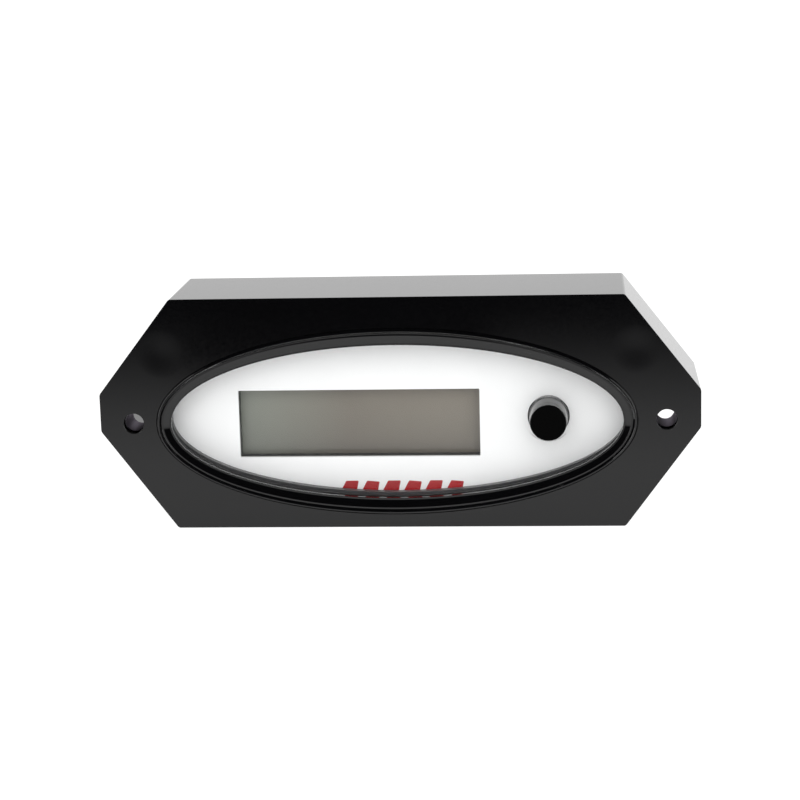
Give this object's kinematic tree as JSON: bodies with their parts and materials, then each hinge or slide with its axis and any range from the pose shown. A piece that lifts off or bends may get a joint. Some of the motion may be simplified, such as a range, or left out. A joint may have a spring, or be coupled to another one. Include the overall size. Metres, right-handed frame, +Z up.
{
  "type": "motorcycle instrument cluster",
  "caption": "Black octagonal motorcycle instrument cluster with a raised oval bezel, clear lens, white dial, grey liquid crystal display, round press button and two mounting holes.",
  "frame": {"origin": "centre of the bounding box in X and Y, on the plane of the case's flat underside", "axes": "+X to the right as the rider sees the display, +Y from the front face towards the back, +Z up"},
  "size_m": [0.165, 0.0362, 0.0645],
  "materials": {
    "case": "black, moulded, satin gloss",
    "bezel": "black, polished",
    "lens": "clear acrylic",
    "dial": "white printed sheet",
    "gasket": "black",
    "shroud": "dark grey",
    "button": "black",
    "spring": "drawn wire",
    "lcd_frame": "black pressed sheet",
    "lcd_glass": "grey-green reflective display",
    "diffuser": "white",
    "contact_rubber": "dark",
    "lamp": "cream",
    "carrier": "off-white",
    "board": "green solder mask",
    "screw_steel": "zinc plated",
    "switch_plastic": "black",
    "plunger": "brown",
    "chip": "black epoxy",
    "crystal": "tinned can",
    "capacitor": "satin can",
    "socket": "black nylon",
    "pin_brass": "plated",
    "can": "black, moulded",
    "vent": "white membrane",
    "sleeve_steel": "zinc plated"
  },
  "bodies": {
    "cluster": {"backlight_led_left": "lamp", "backlight_led_right": "lamp", "bezel_ring": "bezel", "board_screw_1": "screw_steel", "board_screw_2": "screw_steel", "board_screw_3": "screw_steel", "board_screw_4": "screw_steel", "button_collar": "button", "button_spring": "spring", "capacitor_lower": "capacitor", "capacitor_upper": "capacitor", "circuit_board": "board", "contact_strip_lower": "contact_rubber", "contact_strip_upper": "contact_rubber", "cover_gasket": "gasket", "cover_screw_1": "screw_steel", "cover_screw_2": "screw_steel", "cover_screw_3": "screw_steel", "cover_screw_4": "screw_steel", "dial_plate": "dial", "dial_shroud": "shroud", "display_carrier": "carrier", "harness_socket": "socket", "inner_can": "can", "lcd_backlight": "diffuser", "lcd_cell": "lcd_glass", "lcd_frame": "lcd_frame", "lens_gasket": "gasket", "microcontroller": "chip", "mounting_sleeve_left": "sleeve_steel", "mounting_sleeve_right": "sleeve_steel", "outer_case": "case", "quartz_crystal": "crystal", "rear_cover": "can", "switch_body": "switch_plastic", "terminal_pin_1": "pin_brass", "terminal_pin_2": "pin_brass", "terminal_pin_3": "pin_brass", "terminal_pin_4": "pin_brass", "terminal_pin_5": "pin_brass", "terminal_pin_6": "pin_brass", "vent_plug": "vent", "voltage_regulator": "chip", "window_lens": "lens"},
    "button": {"button_cap": "button"},
    "switch plunger": {"switch_plunger": "plunger"}
  },
  "joints": [
    {"name": "button_press", "type": "slide", "parent": "cluster", "child": "button", "axis": [0, 1, 0], "range_m": [0, 0.0012], "stiffness_N_per_m": 800, "springref_m": -0.002, "deforming": ["button_spring"]},
    {"name": "switch_press", "type": "slide", "parent": "cluster", "child": "switch plunger", "axis": [0, 1, 0], "range_m": [0, 0.001]}
  ],
  "couplings": [
    {"joint": "switch_press", "follows": "button_press", "ratio": 0.8333}
  ]
}
